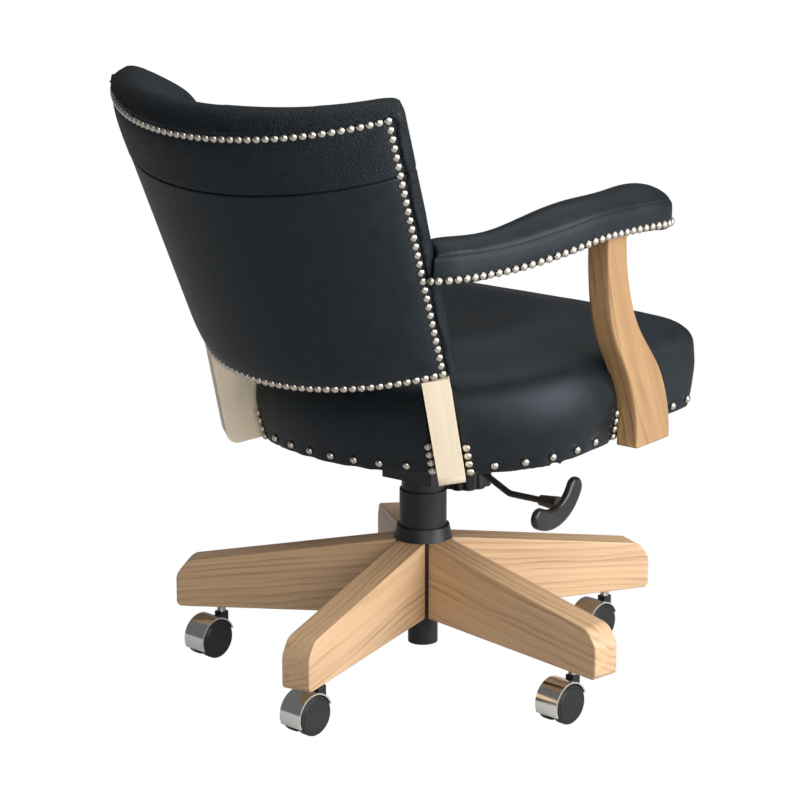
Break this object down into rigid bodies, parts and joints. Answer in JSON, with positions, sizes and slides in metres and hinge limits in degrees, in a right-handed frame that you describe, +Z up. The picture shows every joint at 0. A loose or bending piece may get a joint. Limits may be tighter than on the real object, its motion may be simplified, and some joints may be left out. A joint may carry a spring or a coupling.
{
  "type": "swivel chair",
  "caption": "Upholstered swivel armchair with a curved nailed back, padded arms and a tilting, height-adjustable seat on a wooden star base with casters.",
  "frame": {"origin": "point on the floor under the swivel axis", "axes": "+Z up the swivel axis, -Y the way a sitter faces, +X to the sitter's left"},
  "size_m": [0.6031, 0.7236, 0.7829],
  "materials": {
    "base_wood": "clear satin lacquer, golden brown, strong growth rings",
    "post_wood": "clear satin lacquer, pale cream",
    "deck_wood": "raw plywood",
    "leather": "smooth black leather with a soft sheen",
    "embossed_leather": "black leather pressed with a scaled grain",
    "black_metal": "satin black powder coat",
    "steel": "turned bright steel",
    "black_plastic": "fine-grained black",
    "rubber": "matt black",
    "bright_hood": "satin nickel plate",
    "wheel": "smooth black nylon"
  },
  "bodies": {
    "base": {"base_arm_1": "base_wood", "base_arm_2": "base_wood", "base_arm_3": "base_wood", "base_arm_4": "base_wood", "base_arm_5": "base_wood", "hub": "black_metal", "arm_bolts": "steel", "caster_sockets": "steel", "caster_stems": "steel", "column_tube": "black_metal", "column_bush": "black_plastic", "thrust_bearing": "steel", "lower_cover": "black_plastic"},
    "swivel": {"piston_rod": "steel"},
    "lift": {"gas_cylinder": "steel", "upper_cover": "black_plastic", "mechanism_housing": "black_metal", "pivot_pin": "steel", "tilt_spring": "rubber"},
    "button": {"release_button": "black_plastic"},
    "lever": {"lever_rod": "black_metal", "lever_paddle": "black_plastic"},
    "seat": {"seat_plate": "black_metal", "plate_bolts": "steel", "tension_bolt": "steel", "seat_deck": "deck_wood", "seat_cushion": "leather", "rear_post_left": "post_wood", "rear_post_right": "post_wood", "front_post_left": "post_wood", "front_post_right": "post_wood", "arm_pad_left": "leather", "arm_pad_right": "leather", "back_shell": "deck_wood", "back_cushion": "embossed_leather", "back_panel": "leather"},
    "knob": {"tension_knob": "black_plastic"},
    "caster_1": {"caster_1_horn": "black_plastic", "caster_1_hood": "bright_hood"},
    "caster_1_left": {"caster_1_wheel_left": "wheel"},
    "caster_1_right": {"caster_1_wheel_right": "wheel"},
    "caster_2": {"caster_2_horn": "black_plastic", "caster_2_hood": "bright_hood"},
    "caster_2_left": {"caster_2_wheel_left": "wheel"},
    "caster_2_right": {"caster_2_wheel_right": "wheel"},
    "caster_3": {"caster_3_horn": "black_plastic", "caster_3_hood": "bright_hood"},
    "caster_3_left": {"caster_3_wheel_left": "wheel"},
    "caster_3_right": {"caster_3_wheel_right": "wheel"},
    "caster_4": {"caster_4_horn": "black_plastic", "caster_4_hood": "bright_hood"},
    "caster_4_left": {"caster_4_wheel_left": "wheel"},
    "caster_4_right": {"caster_4_wheel_right": "wheel"},
    "caster_5": {"caster_5_horn": "black_plastic", "caster_5_hood": "bright_hood"},
    "caster_5_left": {"caster_5_wheel_left": "wheel"},
    "caster_5_right": {"caster_5_wheel_right": "wheel"}
  },
  "joints": [
    {"name": "seat_swivel", "type": "hinge", "parent": "base", "child": "swivel", "pos_m": [0, 0, 0.1], "axis": [0, 0, 1], "continuous": true},
    {"name": "height_lift", "type": "slide", "parent": "swivel", "child": "lift", "axis": [0, 0, 1], "range_m": [0, 0.075]},
    {"name": "seat_tilt", "type": "hinge", "parent": "lift", "child": "seat", "pos_m": [0, -0.03, 0.2813], "axis": [-1, 0, 0], "range_deg": [0, 12], "stiffness_Nm_per_rad": 260, "springref_deg": -6.88, "deforming": ["tilt_spring"]},
    {"name": "lever_lift", "type": "hinge", "parent": "lift", "child": "lever", "pos_m": [-0.038, 0, 0.2876], "axis": [0, 1, 0], "range_deg": [0, 7], "stiffness_Nm_per_rad": 3, "springref_deg": -5.73},
    {"name": "button_press", "type": "slide", "parent": "lift", "child": "button", "axis": [0, 0, -1], "range_m": [0, 0.0056], "stiffness_N_per_m": 800},
    {"name": "knob_turn", "type": "hinge", "parent": "seat", "child": "knob", "pos_m": [0, -0.08988, 0.22278], "axis": [0, 0.0523, 0.9986], "range_deg": [0, 1080]},
    {"name": "caster_1_swivel", "type": "hinge", "parent": "base", "child": "caster_1", "pos_m": [0.23337, 0.11686, 0.05], "axis": [0, 0, 1], "continuous": true},
    {"name": "caster_1_left_spin", "type": "hinge", "parent": "caster_1", "child": "caster_1_left", "pos_m": [0.23577, 0.13823, 0.025], "axis": [-0.9938, 0.1115, 0], "continuous": true},
    {"name": "caster_1_right_spin", "type": "hinge", "parent": "caster_1", "child": "caster_1_right", "pos_m": [0.23577, 0.13823, 0.025], "axis": [-0.9938, 0.1115, 0], "continuous": true},
    {"name": "caster_2_swivel", "type": "hinge", "parent": "base", "child": "caster_2", "pos_m": [-0.03903, 0.25806, 0.05], "axis": [0, 0, 1], "continuous": true},
    {"name": "caster_2_left_spin", "type": "hinge", "parent": "caster_2", "child": "caster_2_left", "pos_m": [-0.03663, 0.27943, 0.025], "axis": [-0.9938, 0.1115, 0], "continuous": true},
    {"name": "caster_2_right_spin", "type": "hinge", "parent": "caster_2", "child": "caster_2_right", "pos_m": [-0.03663, 0.27943, 0.025], "axis": [-0.9938, 0.1115, 0], "continuous": true},
    {"name": "caster_3_swivel", "type": "hinge", "parent": "base", "child": "caster_3", "pos_m": [-0.25749, 0.04263, 0.05], "axis": [0, 0, 1], "continuous": true},
    {"name": "caster_3_left_spin", "type": "hinge", "parent": "caster_3", "child": "caster_3_left", "pos_m": [-0.2551, 0.06399, 0.025], "axis": [-0.9938, 0.1115, 0], "continuous": true},
    {"name": "caster_3_right_spin", "type": "hinge", "parent": "caster_3", "child": "caster_3_right", "pos_m": [-0.2551, 0.06399, 0.025], "axis": [-0.9938, 0.1115, 0], "continuous": true},
    {"name": "caster_4_swivel", "type": "hinge", "parent": "base", "child": "caster_4", "pos_m": [-0.12011, -0.23172, 0.05], "axis": [0, 0, 1], "continuous": true},
    {"name": "caster_4_left_spin", "type": "hinge", "parent": "caster_4", "child": "caster_4_left", "pos_m": [-0.11772, -0.21035, 0.025], "axis": [-0.9938, 0.1115, 0], "continuous": true},
    {"name": "caster_4_right_spin", "type": "hinge", "parent": "caster_4", "child": "caster_4_right", "pos_m": [-0.11772, -0.21035, 0.025], "axis": [-0.9938, 0.1115, 0], "continuous": true},
    {"name": "caster_5_swivel", "type": "hinge", "parent": "base", "child": "caster_5", "pos_m": [0.18326, -0.18584, 0.05], "axis": [0, 0, 1], "continuous": true},
    {"name": "caster_5_left_spin", "type": "hinge", "parent": "caster_5", "child": "caster_5_left", "pos_m": [0.18566, -0.16447, 0.025], "axis": [-0.9938, 0.1115, 0], "continuous": true},
    {"name": "caster_5_right_spin", "type": "hinge", "parent": "caster_5", "child": "caster_5_right", "pos_m": [0.18566, -0.16447, 0.025], "axis": [-0.9938, 0.1115, 0], "continuous": true}
  ],
  "couplings": [
    {"joint": "button_press", "follows": "lever_lift", "m_per_rad": 0.043}
  ]
}
